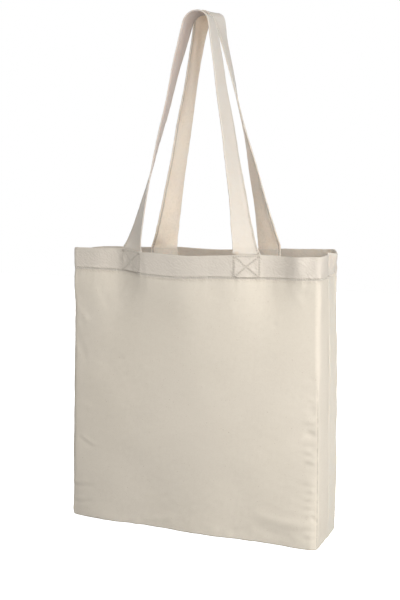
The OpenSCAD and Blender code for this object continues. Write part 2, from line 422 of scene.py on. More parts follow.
def thickness(z):
    """One layer of canvas, or two inside the hem."""
    return np.where(z > HEM_LOW, HEM_T, CANVAS_T)


def look_up(skin, p, z, depth=0.0):
    """Points and normals on a panel, depth millimetres into the cloth."""
    i = np.clip(np.searchsorted(skin["p"], p) - 1, 0, len(skin["p"]) - 2)
    j = np.clip(np.searchsorted(skin["z"], z) - 1, 0, len(skin["z"]) - 2)
    u = ((p - skin["p"][i]) / (skin["p"][i + 1] - skin["p"][i]))[..., None]
    v = ((z - skin["z"][j]) / (skin["z"][j + 1] - skin["z"][j]))[..., None]

    def mix(a):
        low, high = (a[row, i] * (1 - u) + a[row, i + 1] * u for row in (j, j + 1))
        return low * (1 - v) + high * v

    n = normalised(mix(skin["normals"]))
    return mix(skin["points"]) - n * np.asarray(depth)[..., None], n


def base_grid(skin, row):
    """Half of the base, filled in from one row round the panel to the seam along the middle."""
    p = skin["p"]
    face = np.where(np.abs(p) <= HALF_W + SLACK)[0]
    left, right = row[: face[0] + 1][::-1], row[face[-1]:]
    front = row[face]
    share = (front[:, :1] - front[0, 0]) / (front[-1, 0] - front[0, 0])
    seam = left[-1] + (right[-1] - left[-1]) * share
    t = ((left[:, 1] - left[0, 1]) / (left[-1, 1] - left[0, 1]))[:, None, None]
    s = np.linspace(0, 1, len(face))[None, :, None]
    across = front[None] * (1 - t) + seam[None] * t
    along = left[:, None] * (1 - s) + right[:, None] * s
    corner = ((1 - s) * (1 - t) * front[0] + s * (1 - t) * front[-1]
              + (1 - s) * t * seam[0] + s * t * seam[-1])
    grid = across + along - corner
    x, y = grid[..., 0], grid[..., 1]
    inside = smooth(np.minimum(HALF_W - np.abs(x), HALF_D - np.abs(y)) / 14)
    lift = inside * (0.55 + 0.3 * waves(31 + skin["side"], x, y, 12, 26, 90))
    lift += 0.7 * bell(y / 1.3) * smooth((HALF_W - np.abs(x)) / 10)
    grid[..., 2] += np.maximum(lift, 0)
    grid[0], grid[:, 0], grid[:, -1] = front, left, right
    flat_y = -HALF_D * t[..., 0]
    cloth = np.stack(np.broadcast_arrays(p[face][None], flat_y), -1)
    return grid, cloth


def make_panel(name, skin):
    """One panel as a closed cloth solid: outside, fold at the mouth, hem, inside, half of the base."""
    p, z, outer = skin["p"], skin["z"], skin["points"]
    cols = len(p)
    step = [HEM_LOW - 0.1, HEM_LOW + 0.1]
    z_in = np.concatenate([z[z < HEM_LOW - 0.5], step, z[z > HEM_LOW + 0.2]])
    P, Z = np.meshgrid(p, z_in)
    depth = thickness(Z) + 0.12 * waves(41 + skin["side"], P, Z, 12, 12, 50) * smooth(Z / 20)
    inner, _ = look_up(skin, P, Z, depth)
    inner[0] = outer[0] + np.array([0, 0, CANVAS_T])
    inner[..., 1] = np.where(np.abs(P) > HALF_W + HALF_D - SLACK, 0, inner[..., 1])
    middle, reach = (outer[-1] + inner[-1]) / 2, (outer[-1] - inner[-1]) / 2
    up = np.array([0, 0, 1.0]) * np.linalg.norm(reach, axis=-1, keepdims=True)
    turns = np.linspace(0, math.pi, 8)[1:-1]
    fold = np.stack([middle + reach * math.cos(t) + up * math.sin(t) for t in turns])
    wall = np.concatenate([outer, fold, inner[::-1]])
    wall_z = np.concatenate([z, H + 0.6 * np.arange(len(turns)), z_in[::-1]])
    wall_cloth = np.stack(np.broadcast_arrays(p[None], wall_z[:, None]), -1)
    rows = len(wall)
    faces = [grid_quads(rows, cols)]
    points, cloth = [wall.reshape(-1, 3)], [wall_cloth.reshape(-1, 2)]
    count = rows * cols
    for row in (outer[0], inner[0]):
        base, base_cloth = base_grid(skin, row)
        base_rows, base_cols = base.shape[:2]
        faces.append(grid_quads(base_rows, base_cols, count))
        points.append(base.reshape(-1, 3))
        cloth.append(base_cloth.reshape(-1, 2))
        count += base_rows * base_cols
    # the raw edges: down both side seams and along the base seam
    grid = np.arange(rows * cols).reshape(rows, cols)
    outer_rows = len(outer) + len(turns)
    inner_edge = grid[outer_rows:][::-1]
    for col in (0, -1):
        near, arc = grid[:len(outer), col], grid[len(outer):outer_rows, col]
        faces.append(edge_faces(near, inner_edge[:, col], arc))
    size = base_rows * base_cols
    last = rows * cols + size - base_cols
    faces.append([[a, a + 1, a + size + 1, a + size] for a in range(last, last + base_cols - 1)])
    return mesh_object(name, np.concatenate(points), sum(faces, []), np.concatenate(cloth), weld=0.002)


def edge_faces(near, far, arc):
    """Faces that close the cloth's edge between two columns of points with different spacing."""
    faces, i, j = [], 0, 0
    while i < len(near) - 1 or j < len(far) - 1:
        if j == len(far) - 1 or (i < len(near) - 1 and (i + 1) / len(near) <= (j + 1) / len(far)):
            faces.append([near[i], near[i + 1], far[j]])
            i += 1
        else:
            faces.append([near[i], far[j + 1], far[j]])
            j += 1
    faces.append([near[-1], *arc, far[-1]])
    return faces


# -------- stitches

def thread(name, starts, ends, normals):
    """Separate stitches, each a short thread that dips into the cloth at both ends."""
    starts, ends, normals = np.asarray(starts), np.asarray(ends), normalised(np.asarray(normals))
    along = ends - starts
    t = np.array([0, 0.14, 0.5, 0.86, 1.0])
    lift = np.array([-0.32, 0.02, 0.10, 0.02, -0.32]) + PROUD
    girth = np.array([0.5, 0.95, 1.05, 0.95, 0.5]) * THREAD_R
    centre = starts[:, None] + along[:, None] * t[None, :, None] + normals[:, None] * lift[None, :, None]
    wide = normalised(np.cross(along, normals))[:, None, None]
    high = normals[:, None, None]
    cuts, sides, count = len(t), 6, len(starts)
    share = np.arange(sides) / sides
    turn = share * math.tau
    ring = wide * np.cos(turn)[None, None, :, None] + high * np.sin(turn)[None, None, :, None]
    points = centre[:, :, None] + ring * girth[None, :, None, None]
    corners = list(range(cuts * sides))
    one = grid_quads(cuts, sides, closed=True) + [corners[:sides][::-1], corners[-sides:]]
    faces = [[v + len(corners) * k for v in f] for k in range(count) for f in one]
    length = np.linalg.norm(along, axis=-1)[:, None, None]
    apart = 7.3 * np.arange(count)[:, None, None]
    cloth = np.stack(np.broadcast_arrays(t[None, :, None] * length + apart, share), -1)
    return mesh_object(name, points, faces, cloth)


def between(start, end, share):
    """Places on the way from start to end."""
    return start + (end - start) * share[:, None]


def stitch_marks(first, length):
    """Where a row's stitches start and end, between needle holes at whole multiples of STITCH."""
    k = np.arange(math.ceil(first / STITCH), (first + length) // STITCH)
    return (k + 0.15) * STITCH - first, (k + 0.85) * STITCH - first


def joined(rows):
    """Rows of (starts, ends, normals) as one."""
    return [np.concatenate([row[k] for row in rows]) for k in range(3)]


def row_on(skin, start, end, depth=0.0, flip=False):
    """A straight row of stitches on a panel, outside it, or inside at the given depth."""
    start, end = (np.array(spot, float) for spot in sorted((start, end), key=sum))
    length = np.hypot(*(end - start))
    lies_across, lies_upright = np.abs(end - start) > 1
    first = -length / 2 if lies_across and lies_upright else start[0] if lies_across else start[1]
    a, b = stitch_marks(first, length)
    depth = np.full(len(a), depth)
    first, n = look_up(skin, *between(start, end, a / length).T, depth)
    last, _ = look_up(skin, *between(start, end, b / length).T, depth)
    return first, last, -n if flip else n


# -------- straps

# How each handle is held: place of its top, radius of the bend there, extra turn and height of the
# top, and how far and how soon each leg turns on its way up (degrees, and a power of the way).
HOLD = {
    FRONT: {"top_x": -1.8, "top_y": -19.6, "bend": 19.4, "twist": 0, "lift": 0,
            "total": {LEFT: 90, RIGHT: 94}, "power": {LEFT: 0.30, RIGHT: 0.20}},
    REAR: {"top_x": -2.6, "top_y": 18.6, "bend": 14.2, "twist": -18, "lift": 3.5,
           "total": {LEFT: 89, RIGHT: 91}, "power": {LEFT: 0.23, RIGHT: 0.50}},
}
BLUR = 9                                     # reach of the strap line's smoothing, in points


def strap_line(side, skin):
    """The strap's centreline and its width and face directions, from one sewn end to the other."""
    hold = HOLD[side]
    rise, bend = RISE[side], hold["bend"]
    left_x, right_x = STRAP_AT[side, LEFT], STRAP_AT[side, RIGHT]
    cx, cz = (right_x - left_x) / 2, rise - bend
    mouth_x = (right_x + left_x) / 2
    leg = math.sqrt(cx ** 2 + cz ** 2 - bend ** 2)
    angle = math.atan2(cz, cx) + math.asin(bend / math.hypot(cx, cz))
    half = leg + bend * angle
    s = spread(-END_H, 2 * half + END_H, 1.5)
    back = np.minimum(s, 2 * half - s)
    over = np.maximum(back - leg, 0) / bend
    turned = angle + math.pi / 2 - over
    x = np.where(back < leg, -cx + back * math.cos(angle), bend * np.cos(turned))
    z = np.where(back < leg, back * math.sin(angle), cz + bend * np.sin(turned))
    x, z = np.where(back < 0, -cx, x), np.where(back < 0, back, z)
    is_left = s < half
    # where each end leaves the mouth and where it stops, with the turn of the rim there
    spots, stops, rim_turn = {}, {}, {}
    for hand in (LEFT, RIGHT):
        places = np.full(2, STRAP_AT[side, hand]), np.array([H - 3, H - END_H + 2])
        (spots[hand], stops[hand]), out = look_up(skin, *places, np.full(2, HEM_T + STRAP_T / 2 + 0.25))
        rim_turn[hand] = math.degrees(math.atan2(hand * out[0, 0], abs(out[0, 1])))

    def pick(table):
        """The value of each point's own end."""
        return np.where(is_left, table[LEFT], table[RIGHT])

    lean = np.clip(z / rise, 0, 1)
    sink = np.clip(-back / END_H, 0, 1)
    spot_x, spot_y, spot_z = (pick({hand: spots[hand][k] for hand in spots}) for k in range(3))
    stop_y = pick({hand: stops[hand][1] for hand in stops})
    y = spot_y + (stop_y - spot_y) * sink + (hold["top_y"] - spot_y) * lean
    drop_z = (spot_z - (H - 3.0)) * (1 - lean) ** 4
    shift = (spot_x - np.where(is_left, left_x, right_x)) * (1 - lean) ** 3
    y = y + side * 1.2 * (z / 60) * np.exp(1 - np.abs(z) / 60) * (z > 0)
    x = np.where(is_left, x, -x) + mouth_x * (1 - lean) + hold["top_x"] * lean ** 2 + shift
    centre = np.stack([x, y, H + z + drop_z + hold["lift"] * lean ** 2], -1)
    total, power, at_rim = pick(hold["total"]), pick(hold["power"]), pick(rim_turn)
    free = smooth(back / 9)
    theta = at_rim * (1 - free) + free * total * np.maximum(back / half, 1e-4) ** power
    theta = np.where(is_left, theta, 180 - theta) + hold["twist"] * bell((s - half) / 34)
    soft = bell(np.arange(-BLUR, BLUR + 1) / 3.6)
    soft /= soft.sum()

    def blur(a):
        return np.convolve(np.pad(a, BLUR, mode="reflect", reflect_type="odd"), soft, mode="valid")

    centre = np.stack([blur(centre[:, k]) for k in range(3)], -1)
    theta = np.radians(blur(theta))
    width = np.stack([np.cos(theta), side * np.sin(theta), 0 * theta], -1)
    ahead = normalised(np.gradient(centre, axis=0))
    width = normalised(width - ahead * (width * ahead).sum(-1, keepdims=True))
    face = np.cross(ahead, width) * side
    return {"side": side, "s": s, "centre": centre, "width": width, "face": face, "half": half}


def strap_surface(line, s, w, face):
    """Points on one face of the strap: s along it, w across from its outer edge to its inner edge."""
    side = line["side"]
    edge = np.clip((STRAP_W / 2 - np.abs(w)) / 1.3, 0, 1)
    h = STRAP_T / 2 * np.sqrt(1 - (1 - edge) ** 2) * 0.97 + 0.03
    row = STRAP_ROW_IN - STRAP_W / 2
    h = h - 0.28 * bell((w - row) / 0.9)
    h = h + 0.07 * waves(61 + side, s, w * 1.5, 14, 6, 22) * edge
    h = h + 0.10 * waves(63 + side, s, 0 * w, 10, 7, 14) * np.exp(-np.abs(w - row) / 2.5) * edge
    cup = 0.8 * ((w / (STRAP_W / 2)) ** 2 - 0.4) * np.sin(s / 83 + side)
    cup = cup + 0.5 * waves(65 + side, s, w, 8, 60, 160)
    cup = cup * smooth((s - 2) / 40) * smooth((2 * line["half"] - 2 - s) / 40)
    ragged = 0.16 * waves(67 + side, s + 0 * w, 0 * s + np.sign(w) * 40, 10, 8, 40)

    def at(key):
        return np.stack([np.interp(s, line["s"], line[key][:, k]) for k in range(3)], -1)

    n, u = normalised(at("face")), normalised(at("width"))
    across = w * (1 + ragged / (STRAP_W / 2))
    free_spot = at("centre") + u * across[..., None] + n * (face * h + cup)[..., None]
    # inside the hem the strap lies against the cloth
    is_left = s < line["half"]
    back = np.where(is_left, s, 2 * line["half"] - s)
    p = np.where(is_left, STRAP_AT[side, LEFT] + across, STRAP_AT[side, RIGHT] - across)
    depth = HEM_T - 0.3 + STRAP_T / 2 - face * h
    sewn_spot, sewn_n = look_up(plain_skins[side], p, np.minimum(H + back, H - 1.5), depth)
    sewn_spot[..., 2] += np.maximum(back + 1.5, 0)
    free = smooth((back + 2) / 9)[..., None]
    return sewn_spot * (1 - free) + free_spot * free, normalised(sewn_n * (1 - free) + n * free) * face


def make_strap(name, line):
    """A folded canvas strap as one closed solid with soft edges."""
    w = STRAP_W / 2 - np.array([0, 0.12, 0.4, 0.8, 1.3, 2.0, 2.5, 3.0, 3.5, 4.2])
    inner = spread(-(STRAP_W / 2 - 5.4), STRAP_W / 2 - 5.4, 2.7)
    w = np.concatenate([-w, inner, w[::-1]])
    s = spread(line["s"][0], line["s"][-1], 2.0)
    W, S = np.meshgrid(w, s)
    (top, _), (bottom, _) = strap_surface(line, S, W, 1), strap_surface(line, S, W, -1)
    ring = there_and_back(top, bottom)
    # on the flat cloth the inner face lies beside the outer one
    cloth = np.stack([there_and_back(W, 2 * STRAP_W - W), there_and_back(S, S)], -1)
    rows, cols = ring.shape[:2]
    faces = grid_quads(rows, cols, closed=True)
    upper = list(range(len(w)))
    lower = [0] + list(range(cols - 1, len(w) - 1, -1)) + [len(w) - 1]
    for first, flip in ((0, False), ((rows - 1) * cols, True)):
        for k in range(len(w) - 1):
            quad = [first + v for v in (upper[k], upper[k + 1], lower[k + 1], lower[k])]
            quad = [v for i, v in enumerate(quad) if v not in quad[:i]]
            faces.append(quad[::-1] if flip else quad)
    return mesh_object(name, ring, faces, cloth, weld=0.0005)


def strap_row(line, start, end):
    """A row of stitches along a strap from (s, w) to (s, w), as it shows on each of its faces."""
    start, end = (np.array(spot, float) for spot in sorted((start, end)))
    length = np.hypot(*(end - start))
    a, b = stitch_marks(start[0], length)
    rows = {}
    for face in (-1, 1):
        first, n = strap_surface(line, *between(start, end, a / length).T, face)
        last, _ = strap_surface(line, *between(start, end, b / length).T, face)
        rows[face] = first, last, n
    return rows


# -------- materials

class Nodes:
    """A material's node tree, with short ways to add and join nodes."""

    def __init__(self, name):
        self.material = bpy.data.materials.new(name)
        self.material.use_nodes = True
        self.tree = self.material.node_tree
        self.tree.nodes.clear()

    def add(self, kind, inputs=None, **settings):
        node = self.tree.nodes.new("ShaderNode" + kind)
        for key, value in settings.items():
            setattr(node, key, value)
        for key, value in (inputs or {}).items():
            self.put(node.inputs[key], value)
        return node

    def put(self, socket, value):
        if isinstance(value, bpy.types.NodeSocket):
            self.tree.links.new(value, socket)
        else:
            socket.default_value = value

    def math(self, operation, *values, clamp=False):
        node = self.add("Math", operation=operation, use_clamp=clamp)
        for socket, value in zip(node.inputs, values):
            self.put(socket, value)
        return node.outputs[0]

    def times(self, a, b):
        return self.math("MULTIPLY", a, b)

    def plus(self, a, b, clamp=False):
        return self.math("ADD", a, b, clamp=clamp)

    def minus(self, a, b):
        return self.math("SUBTRACT", a, b)

    def times_plus(self, a, b, c):
        return self.math("MULTIPLY_ADD", a, b, c)

    def size(self, a):
        return self.math("ABSOLUTE", a)

    def parts(self, vector):
        """The x and the y of a vector."""
        apart = self.add("SeparateXYZ", {0: vector})
        return apart.outputs[0], apart.outputs[1]

    def noise(self, vector, scale, detail=2.0, roughness=0.5):
        inputs = {"Vector": vector, "Scale": scale, "Detail": detail, "Roughness": roughness}
        return self.add("TexNoise", inputs).outputs["Fac"]

    def stretch(self, vector, scale):
        return self.add("VectorMath", {0: vector, 1: scale}, operation="MULTIPLY").outputs[0]

    def ramp(self, value, low, high, to_low=0.0, to_high=1.0):
        inputs = {"Value": value, "From Min": low, "From Max": high, "To Min": to_low, "To Max": to_high}
        return self.add("MapRange", inputs, interpolation_type="SMOOTHSTEP").outputs["Result"]

    def mix(self, factor, a, b):
        node = self.add("Mix", {"Factor": factor}, data_type="RGBA")
        self.put(node.inputs["A"], a)
        self.put(node.inputs["B"], b)
        return node.outputs["Result"]

    def finish(self, base, roughness, sheen, bump=None, glow=0.0):
        """The tree's shader and output. glow is the share of the light that goes into the cloth."""
        inputs = {"Base Color": base, "Roughness": roughness, "Sheen Weight": sheen,
                  "Sheen Roughness": 0.45, "Specular IOR Level": 0.18}
        if bump:
            inputs["Normal"] = bump
        if glow:
            inputs["Subsurface Weight"] = glow
            inputs["Subsurface Radius"] = (1.0, 0.84, 0.7)
            inputs["Subsurface Scale"] = 3 * MM
        shader = self.add("BsdfPrincipled", inputs)
        self.add("OutputMaterial", {"Surface": shader.outputs["BSDF"]})
        return self.material


def colour(r, g, b):
    return (r, g, b, 1.0)


CLOTH = colour(0.68, 0.617, 0.522)
# the hem is painted darker and greyer, as painted shade for the lesser light that shines through its
# double layer
HEM_PAINTED_SHADE = colour(0.60, 0.545, 0.485)
SEAM_CLOTH = colour(0.64, 0.57, 0.47)
STRAP_OUTER = colour(0.66, 0.61, 0.545)
# the straps' inner faces carry painted light and shade: the rear handle's is lighter and warmer as painted
# bounced light, the front handle's greyer as painted shade
STRAP_INNER_PAINTED_LIGHT_AND_SHADE = {FRONT: colour(0.66, 0.575, 0.525), REAR: colour(0.95, 0.83, 0.72)}
SHADE = colour(0.60, 0.53, 0.44)             # between the yarns
MOTTLE = colour(0.72, 0.64, 0.50)
FLECK = colour(0.36, 0.27, 0.18)
STITCH_SHADE = colour(0.30, 0.25, 0.20)      # in needle holes and grooves
THREAD, THREAD_SHADE = colour(0.88, 0.84, 0.76), colour(0.60, 0.54, 0.44)


def sewn_body(m, flat, side):
    """Distance from the nearest stitched line on a panel, and a place along it."""
    u, v = m.parts(flat)
    half_v, mid_v = (SQUARE_HIGH - SQUARE_LOW) / 2 * MM, (SQUARE_HIGH + SQUARE_LOW) / 2 * MM
    half_u = SQUARE_HALF * MM
    left, right = STRAP_AT[side, LEFT] * MM, STRAP_AT[side, RIGHT] * MM
    middle = m.times_plus(m.math("LESS_THAN", u, 0.0), left - right, right)
    a, b = m.size(m.minus(u, middle)), m.size(m.minus(v, mid_v))
    past_u, past_v = m.minus(a, half_u), m.minus(b, half_v)
    outside = m.math("MAXIMUM", past_u, past_v)
    square = m.size(outside)
    slope = math.hypot(half_u, half_v)
    cross = m.size(m.minus(m.times(a, half_v / slope), m.times(b, half_u / slope)))
    cross = m.plus(cross, m.times(m.math("MAXIMUM", outside, 0.0), 10.0))
    row = m.size(m.minus(v, HEM_ROW * MM))
    straight = m.math("MINIMUM", row, square)
    upright = m.times(m.math("GREATER_THAN", past_u, past_v), m.math("LESS_THAN", square, row))
    along = m.times_plus(upright, m.minus(v, u), u)
    slant = m.times_plus(a, half_u / slope, m.times(b, half_v / slope))
    on_cross = m.math("LESS_THAN", cross, straight)
    along = m.times_plus(on_cross, m.minus(slant, along), along)
    return m.math("MINIMUM", straight, cross), along


def sewn_strap(m, flat, _):
    """The same for a strap, whose one row shows on both faces."""
    u, v = m.parts(flat)
    row = (1.5 * STRAP_W - STRAP_ROW_IN) * MM
    return m.size(m.minus(m.size(m.minus(u, STRAP_W * MM)), row)), v


def painted_fold_shade(m, flat):
    """How strongly painted shade darkens a broken line along the front right-hand fold, up to the soft
    part.
    """
    u, v = m.parts(flat)
    away = m.size(m.minus(u, (HALF_W - FOLD_IN) * MM))
    line = m.times(m.ramp(away, 0.3 * MM, 1.2 * MM, 0.45, 0.0), m.ramp(v, 200 * MM, 270 * MM, 1.0, 0.0))
    return m.times(line, m.ramp(m.noise(m.stretch(flat, (0, 110, 0)), 1.0), 0.35, 0.6, 0.35, 1.0))


def weave(m, flat, pitch):
    """Height of a plain weave, from 0 between the yarns to 1 on top of one."""
    yarns = m.stretch(flat, (1 / (pitch * MM), 1 / (pitch * 1.08 * MM), 0))
    bend = m.times(m.minus(m.noise(flat, 220, 1.0), 0.5), 0.5)
    u, v = (m.plus(part, bend) for part in m.parts(yarns))
    over = m.size(m.math("MODULO", m.plus(m.math("FLOOR", u), m.math("FLOOR", v)), 2.0))
    across, up = (m.size(m.math("SINE", m.times(part, math.pi))) for part in (u, v))
    steep_u, steep_v = m.times_plus(over, -0.55, 0.9), m.times_plus(over, 0.55, 0.35)
    return m.times(m.math("POWER", across, steep_u), m.math("POWER", up, steep_v))


def streaks(m, flat, width, length, detail):
    """Noise drawn out over the flat cloth, with its grain's width and length in millimetres."""
    return m.noise(m.stretch(flat, (1 / (width * MM), 1 / (length * MM), 0)), 1.0, detail)


def cloth_tone(m, place, woven, yarn, slub):
    """How light the cloth is at each spot: its weave, uneven yarns, slubs, mottling and fine grain."""
    tone = m.times_plus(woven, 0.13, m.times_plus(yarn, 0.16, -0.10))
    tone = m.plus(tone, m.ramp(m.noise(place, 26, 3.0, 0.6), 0.25, 0.75, -0.05, 0.05))
    tone = m.plus(tone, m.times(slub, 0.06))
    tone = m.plus(tone, m.ramp(m.noise(place, 420, 1.0), 0.25, 0.75, -0.14, 0.14))
    return m.plus(tone, 0.80, clamp=True)


def seed_flecks(m, flat):
    """Where the sparse dark flecks of cotton seed are."""
    seeds, sparse = m.noise(flat, 640, 0.0), m.noise(flat, 90, 1.0)
    return m.times(m.times(m.ramp(seeds, 0.74, 0.80), m.ramp(sparse, 0.56, 0.64)), 0.55)


def stitched(m, flat, near, along, gathered, body, height):
    """A cloth's colour and height with the needle holes, groove and puckers of its stitched lines."""
    beat = m.math("COSINE", m.times(along, math.tau / (STITCH * MM)))
    hole = m.times(m.ramp(near, 0.4 * MM, 1.2 * MM, 1.0, 0.0), m.ramp(beat, 0.1, 0.8))
    groove = m.ramp(near, 0.2 * MM, 1.8 * MM, 1.0, 0.0)
    body = m.mix(m.times_plus(hole, 0.55, m.times(groove, 0.40)), body, STITCH_SHADE)
    slanted = m.add("VectorRotate", {"Vector": flat, "Angle": 0.7}).outputs[0]
    puckered = m.math("MAXIMUM", m.ramp(near, 0.0, 9 * MM, 1.0, 0.0), gathered)
    pucker = m.times(puckered, m.noise(m.stretch(slanted, (230, 400, 0)), 1.0, 1.0))
    height = m.times_plus(groove, -3.0, m.times_plus(hole, -3.0, height))
    return body, m.times_plus(pucker, 22.0, height)


def canvas(name, tint, pitch=PITCH, sewn=None, side=None, glow=0.0, inner=None):
    """Plain-weave natural canvas. sewn finds its stitched lines; inner is the painted light and shade of a
    strap's inner face.
    """
    m = Nodes(name)
    flat = m.add("UVMap", uv_map="cloth").outputs["UV"]
    place = m.add("TexCoord").outputs["Object"]
    across, up = m.parts(flat)
    woven = weave(m, flat, pitch)
    yarn = m.plus(streaks(m, flat, 2.4, 60, 2.0), streaks(m, flat, 45, 2.0, 2.0))
    slub = m.ramp(streaks(m, flat, 14, 1.1, 1.0), 0.66, 0.80)
    # a strap's inner face takes its painted light and shade
    if inner:
        tint = m.mix(m.math("GREATER_THAN", across, STRAP_W * MM), tint, inner)
    body = m.mix(cloth_tone(m, place, woven, yarn, slub), SHADE, tint)
    body = m.mix(m.ramp(m.noise(place, 7, 2.0), 0.3, 0.7, 0.0, 0.10), body, MOTTLE)
    gathered = 0.0
    if sewn is sewn_body:
        in_hem = m.ramp(up, (HEM_LOW - 1) * MM, (HEM_LOW + 1) * MM)
        gathered = m.times(in_hem, 0.38)
        if side == FRONT:
            # a broken line of painted shade along the pressed front fold
            body = m.mix(painted_fold_shade(m, flat), body, STITCH_SHADE)
        # painted shade: the hem darker and greyer than the single cloth below it
        body = m.mix(m.times(in_hem, 0.55), body, HEM_PAINTED_SHADE)
    body = m.mix(seed_flecks(m, flat), body, FLECK)
    fuzz = m.noise(place, 900, 2.0)
    height = m.times_plus(slub, 0.6, m.times_plus(fuzz, 0.35, m.times_plus(yarn, 0.5, woven)))
    if sewn:
        near, along = sewn(m, flat, side)
        body, height = stitched(m, flat, near, along, gathered, body, height)
    bump = m.add("Bump", {"Height": height, "Strength": 0.55, "Distance": 0.16 * MM})
    rough = m.ramp(woven, 0.0, 1.0, 0.96, 0.84)
    return m.finish(body, rough, 0.12, bump.outputs["Normal"], glow)


def sewing_thread(name, tint):
    """Plied cotton thread: a fine slanted twist along each stitch."""
    m = Nodes(name)
    u, v = m.parts(m.add("UVMap", uv_map="cloth").outputs["UV"])
    ply = m.math("SINE", m.plus(m.times(u, math.tau / (0.55 * MM)), m.times(v, math.tau / MM)))
    each = m.noise(m.add("TexCoord").outputs["Object"], 180, 1.0)
    tone = m.plus(m.ramp(ply, -1.0, 1.0, 0.55, 0.95), m.ramp(each, 0.3, 0.7, -0.12, 0.05), clamp=True)
    bump = m.add("Bump", {"Height": ply, "Strength": 0.5, "Distance": 0.08 * MM})
    rough = m.ramp(each, 0.0, 1.0, 0.7, 0.85)
    return m.finish(m.mix(tone, THREAD_SHADE, tint), rough, 0.15, bump.outputs["Normal"])


def studio_floor():
    """A plain white floor that glows a little, so that it stays close to the background."""
    m = Nodes("studio_floor")
    grain = m.noise(m.add("TexCoord").outputs["Object"], 3, 2.0)
    body = m.mix(m.ramp(grain, 0.3, 0.7), colour(0.93, 0.93, 0.93), colour(0.95, 0.95, 0.95))
    material = m.finish(body, 0.9, 0.0)
    shader = m.tree.nodes["Principled BSDF"]
    shader.inputs["Emission Color"].default_value = colour(1, 1, 1)
    shader.inputs["Emission Strength"].default_value = 0.9
    return material


# -------- building the bag

body_cloth = {FRONT: canvas("front_canvas", CLOTH, sewn=sewn_body, side=FRONT),
              REAR: canvas("back_canvas", CLOTH, sewn=sewn_body, side=REAR, glow=0.5)}
strap_cloth = {side: canvas(word + "_strap_canvas", STRAP_OUTER, 0.58, sewn_strap, side, 0.6,
                            STRAP_INNER_PAINTED_LIGHT_AND_SHADE[side]) for side, word in SIDE_WORD.items()}
seam_cloth = canvas("seam_canvas", SEAM_CLOTH)
thread_finish = sewing_thread("sewing_thread", THREAD)


def piece(obj, material, slot, body, *nodes):
    """Gives a piece its finish, hides the CAD nodes it stands in for, and hangs it on the body it rides
    (none for a piece that bends).
    """
    obj.data.materials.append(material)
    if nodes:
        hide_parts(*nodes)
    if body:
        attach(obj, body)
    return obj


skins = {side: make_skin(side) for side in (FRONT, REAR)}
plain_skins = {side: make_skin(side, fine=False) for side in (FRONT, REAR)}
lines = {side: strap_line(side, skins[side]) for side in (FRONT, REAR)}

for side, name in ((FRONT, "front_panel"), (REAR, "back_panel")):
    panel = piece(make_panel(name + "_cloth", skins[side]), body_cloth[side], "canvas", "bag", name)


def hem_rows():
    """The hem's stitches outside, all round the mouth, and inside where no strap covers them."""
    rows = []
    edge, clear = HALF_W + HALF_D - 1, STRAP_W / 2 + 1
    for side, skin in skins.items():
        rows.append(row_on(skin, (-edge, HEM_ROW), (edge, HEM_ROW)))
        left, right = STRAP_AT[side, LEFT], STRAP_AT[side, RIGHT]
        for a, b in ((-edge + SEAM_W, left - clear), (left + clear, right - clear),
                     (right + clear, edge - SEAM_W)):
            rows.append(row_on(skin, (a, HEM_ROW), (b, HEM_ROW), depth=HEM_T, flip=True))
    return joined(rows)


piece(thread("hem_thread", *hem_rows()), thread_finish, "thread", "bag", "hem_stitching")


def cross_rows(side, hand):
    """The stitches of one square with its cross: on the panel outside, and on the strap inside."""
    rows = [row_on(skins[side], start, end) for start, end in cross_lines(side, hand)]
    for ends in cross_lines(side, hand):
        spots = []
        for p, z in ends:
            s = z - H if hand == LEFT else 2 * lines[side]["half"] - (z - H)
            spots.append((s, (STRAP_AT[side, hand] - p) * hand))
        rows.append(strap_row(lines[side], *spots)[-1])
    return rows


for side, word in SIDE_WORD.items():
    for hand in (LEFT, RIGHT):
        name = f"{word}_{HAND_WORD[hand]}_cross_stitch"
        stitches = thread(name + "_thread", *joined(cross_rows(side, hand)))
        piece(stitches, thread_finish, "thread", "bag", name)
    line = lines[side]
    strap = make_strap(f"{word}_handle_strap", line)
    piece(strap, strap_cloth[side], "strap_canvas", None,
          f"{word}_handle", f"{word}_handle_left_end", f"{word}_handle_right_end")
    row_w = STRAP_ROW_IN - STRAP_W / 2
    both = strap_row(line, (-END_H + 2, row_w), (2 * line["half"] + END_H - 2, row_w))
    edge_thread = thread(f"{word}_handle_edge_thread", *joined([both[-1], both[1]]))
    piece(edge_thread, thread_finish, "thread", None, f"{word}_handle_edge_stitching")
    for moving in (strap, edge_thread):
        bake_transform(moving)


